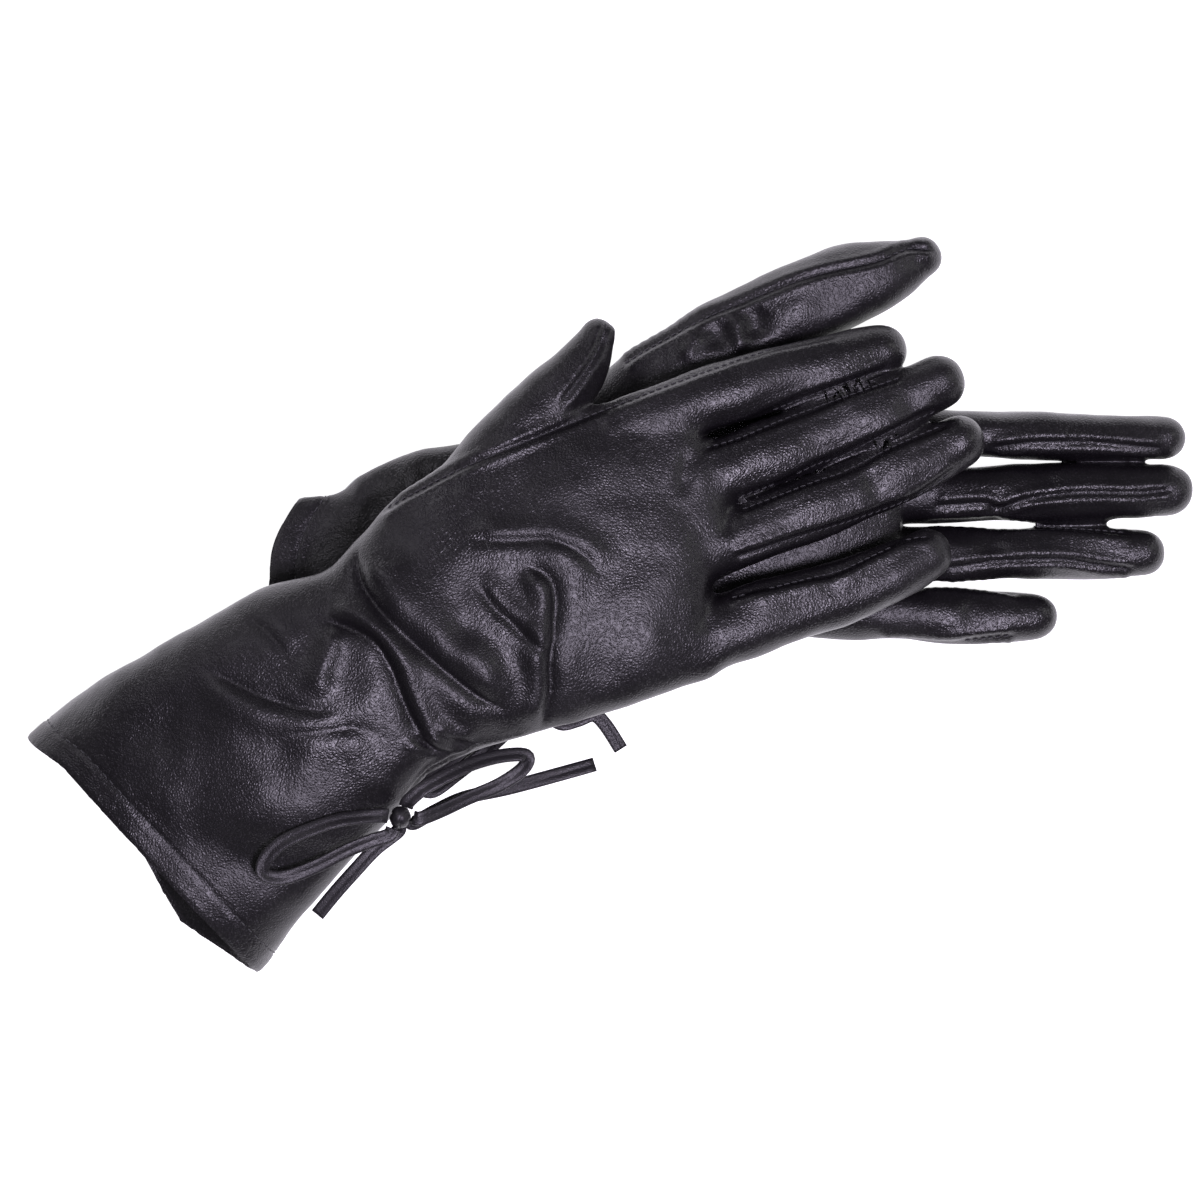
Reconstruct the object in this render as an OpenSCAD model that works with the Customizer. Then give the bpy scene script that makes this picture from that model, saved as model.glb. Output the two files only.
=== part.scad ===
// A pair of long leather dress gloves with flared cuffs and a leather bow at each wrist.
// The left glove lies on its back on a table, palm up, and the right glove lies across it,
// palm down. Each glove is leather panels, finger and thumb stalls, fourchettes, linings,
// a wrist elastic and a bow. The origin is on the table, under the middle of the pair.

/* [Leather and lining] */
// Thickness of the glove leather
leather_t = 1.2; // [0.8:0.1:1.3]
// Thickness of the knitted lining
lining_t = 0.8; // [0.5:0.1:1]
// Thickness of the wrist elastic
elastic_t = 0.6; // [0.4:0.1:0.7]
// Room between two layers that lie on each other
layer_gap = 0.15; // [0.15:0.05:0.3]

/* [Right glove] */
// Distance between the middles of two finger bases
right_pitch = 20.3; // [20.1:0.1:20.6]
// Half width of a finger stall at its base
right_stall_w = 9.7; // [9:0.1:9.8]
// Half thickness of a finger stall at its base
right_stall_h = 8.6; // [8:0.1:9]

/* [Left glove] */
// Distance between the middles of two finger bases
left_pitch = 17.1; // [17:0.1:17.3]
// Half width of a finger stall at its base
left_stall_w = 8.2; // [7.8:0.1:8.3]
// Half thickness of a finger stall at its base
left_stall_h = 9.2; // [8.6:0.1:9.2]
// How far the palm side of the cuff reaches past its back at the hem
left_hem_reach = 14; // [8:1:16]

/* [Details] */
// Width of the fourchette between two fingers
fourchette_w = 8; // [6:0.5:9]
// Thickness of the thong that each bow is tied from
thong_d = 3; // [2.6:0.1:3.1]
// Radius of each bow's knot
knot_r = 3.5; // [3.4:0.1:3.7]
// Gap between two parts that turn against each other
hinge_gap = 0.7; // [0.5:0.1:1]

/* [Hidden] */
FINGERS = ["index", "middle", "ring", "little"];
PLAIN = ["back_panel", "palm_panel", "hand_lining", "wrist_elastic", "thumb", "thumb_lining",
         "bow_knot", "cuff_loop", "hand_loop", "cuff_tail", "hand_tail"];

leather_color = [0.045, 0.042, 0.05];
lining_color = [0.11, 0.1, 0.11];
thong_color = [0.055, 0.05, 0.06];
elastic_color = [0.8, 0.78, 0.74];
hand_sides = 20;
stall_sides = 12;
thong_sides = 8;
panel_steps = 10;
seam_angle = 0.5;
fourchette_gap = 0.15;
lining_depth = leather_t + elastic_t + 2 * layer_gap;
dome_angles = [26, 50, 72];

// Each hand lies in its own frame: its wrist at the origin, fingers along +X and thumb towards +Y
right_wrist = [-62.5, -17.1, 0];
right_turn = 27.6;
left_wrist = [-13.9, 20.1, 0];

// Sections of each hand from the hem to the knuckles:
// along, across, height, heading, half width, half thickness, reach of the palm side
right_hand = [
    [-88, -15.5, 24.6, 15, 48.2, 24.0, -5],
    [-68, -11.5, 31.0, 12, 45.5, 22.0, -2],
    [-45, -7.0, 37.5, 8, 42.5, 19.5, 0],
    [-20, -1.0, 41.5, 3, 37.5, 17.0, 0],
    [0, 0.0, 43.2, 0, 32.0, 14.2, 0],
    [18, 2.5, 43.4, 0, 37.0, 14.0, 0],
    [42, 2.5, 43.2, 0, 41.5, 13.6, 0],
    [64, -0.5, 42.8, -2, 42.5, 13.0, 0],
    [85, -3.5, 41.5, -8, 41.5, 11.8, 0],
    [100.5, -4.6, 39.6, -12.5, 40.6, 10.2, 0]];
left_hand = [
    [-67, -34.0, 9.0, 8, 44.0, 9.6, left_hem_reach],
    [-50, -24.5, 10.0, 16, 40.0, 10.7, 5],
    [-30, -13.5, 11.2, 20, 35.5, 11.9, 0],
    [-4, -1.0, 12.4, 15, 31.5, 13.2, 0],
    [22, 5.5, 13.4, 6, 35.5, 14.4, 0],
    [48, 7.5, 13.4, 0, 36.5, 14.4, 0],
    [72, 6.0, 12.7, -5, 34.5, 13.6, 0],
    [93.5, 3.0, 10.1, -9, 34.2, 10.8, 0]];
wrist_row = [4, 3];

// Tips of the stalls: along, across, height, then the share of the base width that is left there
right_tips = [[173.5, 14.5, 28.5, 0.80], [182, -3, 28, 0.80], [181, -19.5, 28, 0.80], [158, -42.5, 28, 0.84]];
left_tips = [[180, 30, 7.6, 0.90], [181.5, 12.6, 7.6, 0.90], [173, -5.8, 7.6, 0.86], [142, -24.2, 7.6, 0.86]];
tip_h_share = 0.82;
right_base_z = 39.2;
// Where a left finger bends, along the hand
left_bends = [128, 128, 128, 116];

// Sections of each thumb, from its mouth in the side of the hand to where its end rounds in
right_thumb = [
    [54.5, 45.2, 40.0, 84.6, 18.5, 10.8],
    [67.5, 50.7, 40.0, 45, 11.0, 11.2],
    [79, 54.5, 39.6, 25, 10.3, 10.8],
    [93, 59.5, 38.5, 18, 9.2, 9.6]];
left_thumb = [
    [33, 46.2, 13.0, 90, 19.5, 11.0],
    [50, 56.5, 13.2, 45, 13.0, 12.0],
    [68, 66.5, 13.2, 25, 12.0, 12.0],
    [82, 71.5, 12.8, 15, 11.8, 11.6],
    [98.5, 76, 12.0, 8, 10.5, 10.6]];
// Where the thumb opens out of the hand: along from and to, across from and to, height from and to
right_thumb_mouth = [[40, 34, 32.5], [70, 48, 47.5]];
left_thumb_mouth = [[17, 34, 5.5], [49, 50, 20.5]];

// Each bow: its knot, the ways its strands leave it, and the points that they run through
straight_out = 2.6;
strand_ways = [[-0.75, 0.5, 0.43], [-0.85, -0.5, 0.15], [0.75, 0.5, 0.43], [0.85, -0.5, 0.15],
               [-0.45, -0.55, -0.7], [0.45, -0.55, -0.7], [-0.5, 0, 0.866]];
right_knot = [-17.4, -39.8, 50];
right_cuff_loop = [[-26.5, -34.8, 54.2], [-33, -32.4, 56.2], [-41, -31, 57.2], [-50, -30.5, 57],
                   [-56.5, -32.5, 56.2], [-59, -36, 55], [-55, -39.5, 53.6], [-46, -41, 53],
                   [-35, -41.2, 52.4], [-27.5, -42, 51.6]];
right_hand_loop = [[-7.5, -35.6, 53], [1, -35.4, 51.4], [9, -36, 48.6], [17, -38, 46], [22.5, -41, 44.6],
                   [20, -43.8, 43.4], [12, -44.8, 43.6], [2, -44, 45.6], [-6, -43.6, 48.4]];
right_cuff_tail = [[-28, -44.6, 46], [-36, -47.4, 45.6], [-44, -50.4, 44.4], [-51.5, -53.6, 43]];
right_hand_tail = [[-8, -43, 42], [1, -43.5, 39], [13, -46.8, 35], [27, -50, 31], [38.5, -52.5, 28.5]];
left_knot = [-7, -47.8, 9];
left_cuff_loop = [[-16, -51.5, 14], [-23, -57.4, 13], [-30, -63.2, 11.5], [-37, -69, 9.8],
                  [-40.5, -72.6, 8.4], [-37, -74, 7.4], [-30, -69, 7], [-22, -62.6, 7], [-15.5, -56.5, 8]];
left_hand_loop = [[1, -41.5, 10.5], [9, -38, 10], [18, -36.4, 9.4], [25, -37.4, 9],
                  [27.5, -40.4, 8.6], [24, -43, 8.2], [14, -44.6, 8], [4, -46.6, 8.4]];
left_cuff_tail = [[-12, -53.6, 3.4], [-20, -60.5, 1.8], [-29, -66.8, 1.6], [-37, -71.8, 1.6]];
left_hand_tail = [[0, -54.5, 2], [5, -53.5, 1.6], [9.5, -52, 1.6], [13, -55, 1.6], [17.5, -62, 1.6]];

// ---- Vectors, sections and rings ----

function unit_of(v) = v / norm(v);
function place_of(v) = [v[0], v[1], v[2]];
function heading_of(v) = atan2(v[1], v[0]);
function turned(v, angle) = [v[0] * cos(angle) - v[1] * sin(angle), v[0] * sin(angle) + v[1] * cos(angle)];
function reversed(list) = [for (i = [len(list) - 1:-1:0]) list[i]];
function between(a, b, share) = a + (b - a) * share;

// A point on a section at a depth under the surface. Angle 0 faces the thumb's side and 90 faces up.
// No point lies lower than the table, and inner layers lie on the outer ones there.
function skin_point(s, angle, depth) =
    let (lean = len(s) > 7 ? s[7] : 0,
         thin = depth * sqrt(1 - lean * lean),
         reach = s[6] > 0 ? s[6] * max(0, sin(angle)) : s[6] * min(0, sin(angle)),
         flat = turned([-reach - depth * lean, (s[4] - thin) * cos(angle)], s[3]))
    [s[0] + flat[0], s[1] + flat[1], max(depth, s[2] + (s[5] - thin) * sin(angle))];

function ring(s, depth, sides) = [for (i = [0:sides - 1]) skin_point(s, 360 * i / sides, depth)];

// The triangles round the side of a loft, from ring to ring
function loft_sides(count, n, closed) =
    [for (k = [0:closed ? count - 1 : count - 2]) for (i = [0:n - 1])
        let (next = (k + 1) % count, j = (i + 1) % n)
        each [[k * n + i, next * n + j, k * n + j], [k * n + i, next * n + i, next * n + j]]];

// ---- Shells ----

// A tube with a wall, open at both ends
module tube(sections, depth, thickness, sides) {
    rings = concat([for (s = sections) ring(s, depth, sides)],
                   reversed([for (s = sections) ring(s, depth + thickness, sides)]));
    polyhedron(points = [for (r = rings) each r], faces = loft_sides(len(rings), sides, true), convexity = 6);
}

// A tube with a wall and a closed far end
module cup(sections, depth, thickness, sides) {
    rings = concat(reversed([for (s = sections) ring(s, depth + thickness, sides)]),
                   [for (s = sections) ring(s, depth, sides)]);
    last = (len(rings) - 1) * sides;
    ends = [[for (i = [0:sides - 1]) i], [for (i = [sides - 1:-1:0]) last + i]];
    polyhedron(points = [for (r = rings) each r],
               faces = concat(loft_sides(len(rings), sides, false), ends), convexity = 6);
}

// The part of a tube's wall between two angles
module strip(sections, from, to, depth, thickness, steps) {
    angles = [for (i = [0:steps]) from + (to - from) * i / steps];
    n = 2 * (steps + 1);
    rings = [for (s = sections) concat([for (a = angles) skin_point(s, a, depth)],
                                       [for (a = reversed(angles)) skin_point(s, a, depth + thickness)])];
    last = (len(rings) - 1) * n;
    ends = [for (i = [0:steps - 1]) each [
        [i, i + 1, n - 2 - i], [i, n - 2 - i, n - 1 - i],
        [last + n - 2 - i, last + i + 1, last + i], [last + n - 1 - i, last + n - 2 - i, last + i]]];
    polyhedron(points = [for (r = rings) each r],
               faces = concat(loft_sides(len(rings), n, false), ends), convexity = 6);
}

// ---- Fingers and thumbs ----

// The section of a stall at a share of its straight length, or further round its dome by an angle.
// A stall is its base, its tip with the share of width left there, its half width and half thickness.
function stall_row(base, tip, half_w, half_h, share, dome, heading) =
    let (way = place_of(tip) - base, dome_length = half_w * tip[3],
         slim = between(1, tip[3], share), low = between(1, tip_h_share, share),
         at = base + unit_of(way) * (share * (norm(way) - dome_length) + dome_length * sin(dome)))
    [at[0], at[1], at[2], heading, half_w * slim * cos(dome), half_h * low * cos(dome), 0, sin(dome)];

// Where finger number i leaves its hand: on the knuckle line, a hinge gap past the panels
function stall_base(hand, i, pitch, z) =
    let (knuckles = hand[len(hand) - 1], off = turned([hinge_gap, (1.5 - i) * pitch], knuckles[3]))
    [knuckles[0] + off[0], knuckles[1] + off[1], z];

function right_base(i) = stall_base(right_hand, i, right_pitch, right_base_z);
function left_base(i) = stall_base(left_hand, i, left_pitch, left_stall_h);
function knuckle_heading(hand) = hand[len(hand) - 1][3];

function right_row(i, share, dome, heading) =
    stall_row(right_base(i), right_tips[i], right_stall_w, right_stall_h, share, dome, heading);
function left_row(i, share, dome, heading) =
    stall_row(left_base(i), left_tips[i], left_stall_w, left_stall_h, share, dome, heading);

function right_stall_rows(i) =
    let (heading = heading_of(place_of(right_tips[i]) - right_base(i)))
    concat([right_row(i, 0, 0, knuckle_heading(right_hand))],
           [for (share = [0.5, 1]) right_row(i, share, 0, heading)],
           [for (dome = dome_angles) right_row(i, 1, dome, heading)]);

// The share of a left stall's straight length at a place along the hand
function left_share(i, along) =
    let (way = place_of(left_tips[i]) - left_base(i))
    (along - left_base(i)[0]) / (unit_of(way)[0] * (norm(way) - left_stall_w * left_tips[i][3]));

function left_stall_rows(i) =
    let (heading = heading_of(place_of(left_tips[i]) - left_base(i)),
         bend = left_share(i, left_bends[i] - hinge_gap / 2))
    [left_row(i, 0, 0, knuckle_heading(left_hand)), left_row(i, bend / 2, 0, heading), left_row(i, bend, 0, 0)];

function left_tip_rows(i) =
    let (heading = heading_of(place_of(left_tips[i]) - left_base(i)),
         bend = left_share(i, left_bends[i] + hinge_gap / 2))
    concat([left_row(i, bend, 0, 0)],
           [for (share = [(1 + bend) / 2, 1]) left_row(i, share, 0, heading)],
           [for (dome = dome_angles) left_row(i, 1, dome, heading)]);

// A thumb is its own sections, then a dome on the last of them
function thumb_rows(rows) =
    let (end = rows[len(rows) - 1], ahead = turned([end[4], 0], end[3]))
    concat([for (r = rows) concat(r, [0, 0])],
           [for (d = dome_angles) [end[0] + ahead[0] * sin(d), end[1] + ahead[1] * sin(d), end[2], end[3],
                                   end[4] * cos(d), end[5] * cos(d), 0, sin(d)]]);

// The slots in a finger's sides that its fourchettes fill; the index has none on the thumb's side
// and the little finger none on the outside
module fourchette_slots(i, base, tip, half_w, width) {
    way = place_of(tip) - base;
    length = norm(way) - 0.6 * half_w * tip[3];
    translate(base) rotate([0, -asin(way[2] / norm(way)), heading_of(way)]) {
        if (i > 0) translate([-3, 0, -width / 2]) cube([length + 3, 30, width]);
        if (i < 3) translate([-3, -30, -width / 2]) cube([length + 3, 30, width]);
    }
}

module right_slots(i, width) { fourchette_slots(i, right_base(i), right_tips[i], right_stall_w, width); }
module left_slots(i, width) { fourchette_slots(i, left_base(i), left_tips[i], left_stall_w, width); }

module stall_leather(rows, is_tip) {
    if (is_tip) cup(rows, 0, leather_t, stall_sides);
    else tube(rows, 0, leather_t, stall_sides);
}

module stall_lining(rows, is_tip) {
    if (is_tip) cup(rows, lining_depth, lining_t, stall_sides);
    else tube(rows, lining_depth, lining_t, stall_sides);
}

// ---- The hand and the cuff ----

module thumb_mouth(corners) { translate(corners[0]) cube(corners[1] - corners[0]); }

// One side of the hand and the cuff, cut in one piece from the hem to the knuckles
module panel(hand, is_top, mouth) {
    from = is_top ? seam_angle : 180 + seam_angle;
    color(leather_color) difference() {
        strip(hand, from, from + 180 - 2 * seam_angle, 0, leather_t, panel_steps);
        thumb_mouth(mouth);
    }
}

// The lining stops short of the hem, where the leather is turned in
module hand_lining(hand, mouth) {
    turn_in = 0.35;
    rows = concat([between(hand[0], hand[1], turn_in)], [for (k = [1:len(hand) - 1]) hand[k]]);
    color(lining_color) difference() {
        tube(rows, lining_depth, lining_t, hand_sides);
        thumb_mouth(mouth);
    }
}

// The elastic gathers the wrist between the leather and the lining
module wrist_elastic(hand, row) {
    before = between(hand[row], hand[row - 1], 0.25);
    after = between(hand[row], hand[row + 1], 0.3);
    color(elastic_color)
        tube([before, hand[row], after], leather_t + layer_gap, elastic_t, hand_sides);
}

// ---- The bow ----

// Points of a smooth curve through the given points, with two steps from each to the next
function curve_point(p, i, f) =
    let (a = p[max(i - 1, 0)], b = p[i], c = p[min(i + 1, len(p) - 1)], d = p[min(i + 2, len(p) - 1)])
    0.5 * (2 * b + (c - a) * f + (2 * a - 5 * b + 4 * c - d) * f * f + (3 * b - a - 3 * c + d) * f * f * f);
function curve_through(p) = [for (i = [0:len(p) - 2]) for (f = [0, 0.5]) curve_point(p, i, f)];

module strand(points) {
    path = concat(curve_through(points), [points[len(points) - 1]]);
    last = len(path) - 1;
    rings = [for (i = [0:last])
        let (ahead = unit_of(path[min(i + 1, last)] - path[max(i - 1, 0)]),
             side = unit_of(cross([0, 0, 1], ahead)), up = cross(ahead, side))
        [for (k = [0:thong_sides - 1])
            path[i] + thong_d / 2 * (cos(360 * k / thong_sides) * side + sin(360 * k / thong_sides) * up)]];
    ends = [[for (k = [0:thong_sides - 1]) k], [for (k = [thong_sides - 1:-1:0]) last * thong_sides + k]];
    color(thong_color) polyhedron(points = [for (r = rings) each r],
        faces = concat(loft_sides(len(rings), thong_sides, false), ends), convexity = 6);
}

// Where strand number k leaves the knot, and where it has run straight out of it
function strand_start(knot, k) = knot + (knot_r + 0.4) * unit_of(strand_ways[k]);
function strand_out(knot, k) = knot + (knot_r + straight_out) * unit_of(strand_ways[k]);

module bow_loop(knot, points, k, back) {
    strand(concat([strand_start(knot, k), strand_out(knot, k)], points,
                  [strand_out(knot, back), strand_start(knot, back)]));
}
module bow_tail(knot, points, k) { strand(concat([strand_start(knot, k), strand_out(knot, k)], points)); }
module bow_knot(knot) { color(thong_color) translate(knot) sphere(r = knot_r, $fn = 32); }

// ---- The nodes ----

module place_right() { translate(right_wrist) rotate([0, 0, right_turn]) children(); }
module place_left() { translate(left_wrist) children(); }

module right_back_panel() place_right() panel(right_hand, true, right_thumb_mouth);
module right_palm_panel() place_right() panel(right_hand, false, right_thumb_mouth);
module right_hand_lining() place_right() hand_lining(right_hand, right_thumb_mouth);
module right_wrist_elastic() place_right() wrist_elastic(right_hand, wrist_row[0]);
module right_thumb() place_right() color(leather_color) cup(thumb_rows(right_thumb), 0, leather_t, stall_sides);
module right_thumb_lining() place_right()
    color(lining_color) cup(thumb_rows(right_thumb), lining_depth, lining_t, stall_sides);
module right_bow_knot() place_right() bow_knot(right_knot);
module right_cuff_loop() place_right() bow_loop(right_knot, right_cuff_loop, 0, 1);
module right_hand_loop() place_right() bow_loop(right_knot, right_hand_loop, 2, 3);
module right_cuff_tail() place_right() bow_tail(right_knot, right_cuff_tail, 4);
module right_hand_tail() place_right() bow_tail(right_knot, right_hand_tail, 5);

module right_finger_stall(i) place_right() color(leather_color) difference() {
    stall_leather(right_stall_rows(i), true);
    right_slots(i, fourchette_w);
}
module right_finger_fourchettes(i) place_right() color(leather_color) intersection() {
    stall_leather(right_stall_rows(i), true);
    right_slots(i, fourchette_w - 2 * fourchette_gap);
}
module right_finger_lining(i) place_right() color(lining_color) stall_lining(right_stall_rows(i), true);

module left_back_panel() place_left() panel(left_hand, false, left_thumb_mouth);
module left_palm_panel() place_left() panel(left_hand, true, left_thumb_mouth);
module left_hand_lining() place_left() hand_lining(left_hand, left_thumb_mouth);
module left_wrist_elastic() place_left() wrist_elastic(left_hand, wrist_row[1]);
module left_thumb() place_left() color(leather_color) cup(thumb_rows(left_thumb), 0, leather_t, stall_sides);
module left_thumb_lining() place_left()
    color(lining_color) cup(thumb_rows(left_thumb), lining_depth, lining_t, stall_sides);
module left_bow_knot() place_left() bow_knot(left_knot);
module left_cuff_loop() place_left() bow_loop(left_knot, left_cuff_loop, 6, 1);
module left_hand_loop() place_left() bow_loop(left_knot, left_hand_loop, 2, 3);
module left_cuff_tail() place_left() bow_tail(left_knot, left_cuff_tail, 4);
module left_hand_tail() place_left() bow_tail(left_knot, left_hand_tail, 5);

module left_finger_stall(i) place_left() color(leather_color) difference() {
    stall_leather(left_stall_rows(i), false);
    left_slots(i, fourchette_w);
}
module left_fingertip(i) place_left() color(leather_color) difference() {
    stall_leather(left_tip_rows(i), true);
    left_slots(i, fourchette_w);
}
module left_tip_fourchettes(i) place_left() color(leather_color) intersection() {
    stall_leather(left_tip_rows(i), true);
    left_slots(i, fourchette_w - 2 * fourchette_gap);
}
module left_tip_lining(i) place_left() color(lining_color) stall_lining(left_tip_rows(i), true);
module left_stall_fourchettes() place_left() for (i = [0:3]) color(leather_color) intersection() {
    stall_leather(left_stall_rows(i), false);
    left_slots(i, fourchette_w - 2 * fourchette_gap);
}
module left_stall_linings() place_left()
    for (i = [0:3]) color(lining_color) stall_lining(left_stall_rows(i), false);

right_back_panel();
right_palm_panel();
right_hand_lining();
right_wrist_elastic();
right_thumb();
right_thumb_lining();
right_bow_knot();
right_cuff_loop();
right_hand_loop();
right_cuff_tail();
right_hand_tail();
left_back_panel();
left_palm_panel();
left_hand_lining();
left_wrist_elastic();
left_thumb();
left_thumb_lining();
left_bow_knot();
left_cuff_loop();
left_hand_loop();
left_cuff_tail();
left_hand_tail();
left_stall_fourchettes();
left_stall_linings();
for (i = [0:3]) {
    right_finger_stall(i);
    right_finger_fourchettes(i);
    right_finger_lining(i);
    left_finger_stall(i);
    left_fingertip(i);
    left_tip_fourchettes(i);
    left_tip_lining(i);
}
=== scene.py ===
import math

import bpy
import bmesh
import numpy as np
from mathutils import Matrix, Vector, noise
from mathutils.bvhtree import BVHTree


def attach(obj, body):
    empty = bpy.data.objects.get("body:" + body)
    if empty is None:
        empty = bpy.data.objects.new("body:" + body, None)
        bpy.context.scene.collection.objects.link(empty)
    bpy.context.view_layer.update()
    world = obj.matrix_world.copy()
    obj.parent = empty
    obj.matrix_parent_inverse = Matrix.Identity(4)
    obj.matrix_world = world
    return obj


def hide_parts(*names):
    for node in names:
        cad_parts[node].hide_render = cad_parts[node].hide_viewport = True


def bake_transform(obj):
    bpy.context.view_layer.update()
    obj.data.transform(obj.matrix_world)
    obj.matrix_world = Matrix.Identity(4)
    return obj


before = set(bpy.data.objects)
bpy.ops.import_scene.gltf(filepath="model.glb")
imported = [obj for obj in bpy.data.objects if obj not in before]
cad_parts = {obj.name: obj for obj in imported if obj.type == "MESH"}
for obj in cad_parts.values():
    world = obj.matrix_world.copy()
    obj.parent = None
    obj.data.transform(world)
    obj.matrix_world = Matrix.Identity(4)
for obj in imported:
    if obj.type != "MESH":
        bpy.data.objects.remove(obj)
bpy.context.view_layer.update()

MM = 0.001
FINGERS = ("index", "middle", "ring", "little")

# ---- The gloves' own measures, in millimetres ----

LEATHER = 1.1          # thickness of the leather wall
LINING_DEPTH = 1.5     # how far under the leather's face the lining starts
LINING = 0.7           # thickness of the lining
ELASTIC_DEPTH = 1.25
ELASTIC = 0.5
CLOTH_GRID = 0.8       # size of the mesh that the leather is shaped on
HEM_STITCH_IN = 7.5    # from the hem's edge to its stitches
STITCH_PITCH = 2.6
STITCH_LENGTH = 1.9
STITCH_RADIUS = 0.22
STEEPEST_STITCH = 0.4   # the least upward part of the leather's normal that still takes a stitch

# Each hand lies in its own frame: its wrist at the origin, fingers along +X, thumb towards +Y
RIGHT = {"wrist": (-62.5, -17.1), "turn": 27.6}
LEFT = {"wrist": (-13.9, 20.1), "turn": 0.0}
HANDS = {"right": RIGHT, "left": LEFT}

# Sections of the hand and cuff: along, across, height, heading, half width, half thickness
RIGHT_HAND = [
    (-108, -20, 22, 16, 48.8, 24.5), (-88, -14.8, 25, 15, 47.6, 24),
    (-68, -9.4, 31, 12, 44.8, 22), (-45, -5, 37.5, 8, 41.2, 19.8),
    (-20, -1, 41.5, 3, 37.2, 17.4), (-4, 0, 43.4, 0, 32.4, 15),
    (8, 1.5, 44, 0, 34.5, 14.8), (24, 3, 44, 0, 39, 14.6),
    (45, 2, 43.6, 0, 42, 14.2), (64, -0.5, 43, -2, 43, 13.6),
    (80, -3.4, 42, -8, 42.4, 12.4), (90, -5.6, 41, -12, 41.4, 10.8), (94.5, -6.4, 40.4, -13, 38, 8.4)]
RIGHT_WEB = [
    (76, 8, 42, -8, 26, 11.6), (92, 6.6, 40.6, -8, 25, 10.6),
    (104, 5.4, 39.6, -6, 24, 9), (108.5, 5, 39.2, -6, 22.5, 5.6)]
LEFT_HAND = [
    (-100, -40, 8.8, 4, 46, 9), (-84, -37.5, 9, 6, 45, 9.2), (-67, -34, 9.2, 8, 44, 9.4),
    (-50, -23.3, 10.2, 16, 41, 10.4), (-30, -11.3, 11.4, 20, 37.7, 11.6),
    (-4, -1, 12.6, 15, 31.5, 12.8), (22, 5.5, 13.6, 6, 35.5, 13.9),
    (48, 7.5, 13.6, 0, 36.5, 13.8), (72, 6, 12.9, -5, 35.5, 13.1),
    (90, 3.4, 11.2, -9, 35, 11.4), (98, 2.2, 10.2, -9, 33, 8.6)]

# Sections of a finger from inside the hand to its tip: along, across, height, half width, half thickness
RIGHT_FINGERS = [
    [(86, 28.4, 40.8, 9.3, 9.8), (110, 26.2, 37.6, 9.2, 9.6), (134, 22.3, 34.2, 9.1, 9.2),
     (155, 17.4, 31.2, 8.6, 8.6), (173.5, 13.4, 28.8, 7.4, 8)],
    [(86, 7.4, 41, 9.2, 9.8), (110, 5, 37.6, 9.3, 9.6), (134, 2.4, 34.4, 9.1, 9.3),
     (160, -0.6, 31.2, 8.8, 8.7), (184.6, -1.4, 28.4, 7.6, 8.2)],
    [(84, -12.2, 40.6, 8.6, 9.6), (110, -14.4, 37.4, 8.8, 9.6), (134, -17, 34.2, 8.8, 9.2),
     (158, -18.5, 31, 8.8, 8.6), (181.4, -18.9, 28.4, 7.8, 8.2)],
    [(76, -33.6, 40, 10, 9.4), (100, -37, 36.8, 10, 9.2), (118, -40.6, 34, 9.4, 8.8),
     (138, -43, 31, 8.8, 8.2), (158.2, -43.4, 28.2, 7.2, 7.8)]]
LEFT_FINGERS = [
    [(78, 29.8, 10.4, 7.4, 9.8), (105, 29.6, 9.8, 7.2, 9.6), (130, 29.4, 9.4, 7, 9.2),
     (156, 28.8, 8.6, 6.8, 8.4), (181.2, 28.3, 8.2, 6.2, 7.8)],
    [(78, 12, 10.4, 7.9, 9.8), (105, 12.2, 9.8, 8.2, 9.6), (130, 12.4, 9.4, 8.2, 9.2),
     (158, 12.6, 8.6, 8.2, 8.4), (183.4, 13.3, 8.2, 7.6, 7.8)],
    [(78, -4.8, 10.2, 7.6, 9.6), (105, -5.2, 9.8, 7.6, 9.4), (130, -5.2, 9.2, 7.6, 9),
     (152, -5, 8.6, 7.6, 8.4), (175.2, -4.8, 8.2, 7, 7.6)],
    [(74, -21.8, 10, 8, 9.4), (100, -22.6, 9.4, 7.8, 9.2), (120, -23.4, 8.8, 7.8, 8.6),
     (144.2, -23.4, 8, 6.8, 7.4)]]
RIGHT_THUMB = [
    (24, 22, 41, 44, 12.5, 10.4), (44, 32, 40.8, 34, 12.4, 11), (61, 40.5, 40.4, 26, 11.6, 11),
    (76, 45.8, 39.8, 23, 10, 10.2), (88.5, 51, 38.8, 29, 7.9, 8.6), (96, 56, 37.8, 38, 5.4, 6.4)]
LEFT_THUMB = [
    (10, 26, 13.6, 50, 15.5, 11.6), (30, 42, 13.6, 42, 15, 12), (50, 55.5, 13.6, 36, 14, 12),
    (68, 66, 13.4, 25, 12.8, 11.8), (84, 73, 13, 20, 12.1, 11.4), (96, 77, 12.4, 26, 9.2, 9.8),
    (104, 80.6, 11.6, 33, 6.2, 7.2)]
HEM_CUT = {"right": ((-87.7, -15), 15.2), "left": ((-84, -9), -3)}

# ---- Small geometry helpers ----


def unit(v):
    v = np.asarray(v, float)
    return v / np.linalg.norm(v)


def to_world(points, hand):
    """Points of a hand's own frame, in the frame of the pair. Both are in millimetres."""
    p = np.array(points, float)
    a = math.radians(hand["turn"])
    out = p.copy()
    out[..., 0] = hand["wrist"][0] + p[..., 0] * math.cos(a) - p[..., 1] * math.sin(a)
    out[..., 1] = hand["wrist"][1] + p[..., 0] * math.sin(a) + p[..., 1] * math.cos(a)
    return out


def to_hand(points, hand):
    """The other way round: points of the pair's frame, in a hand's own frame."""
    p = np.array(points, float)
    a = math.radians(hand["turn"])
    dx, dy = p[..., 0] - hand["wrist"][0], p[..., 1] - hand["wrist"][1]
    out = p.copy()
    out[..., 0] = dx * math.cos(a) + dy * math.sin(a)
    out[..., 1] = dy * math.cos(a) - dx * math.sin(a)
    return out


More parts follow.
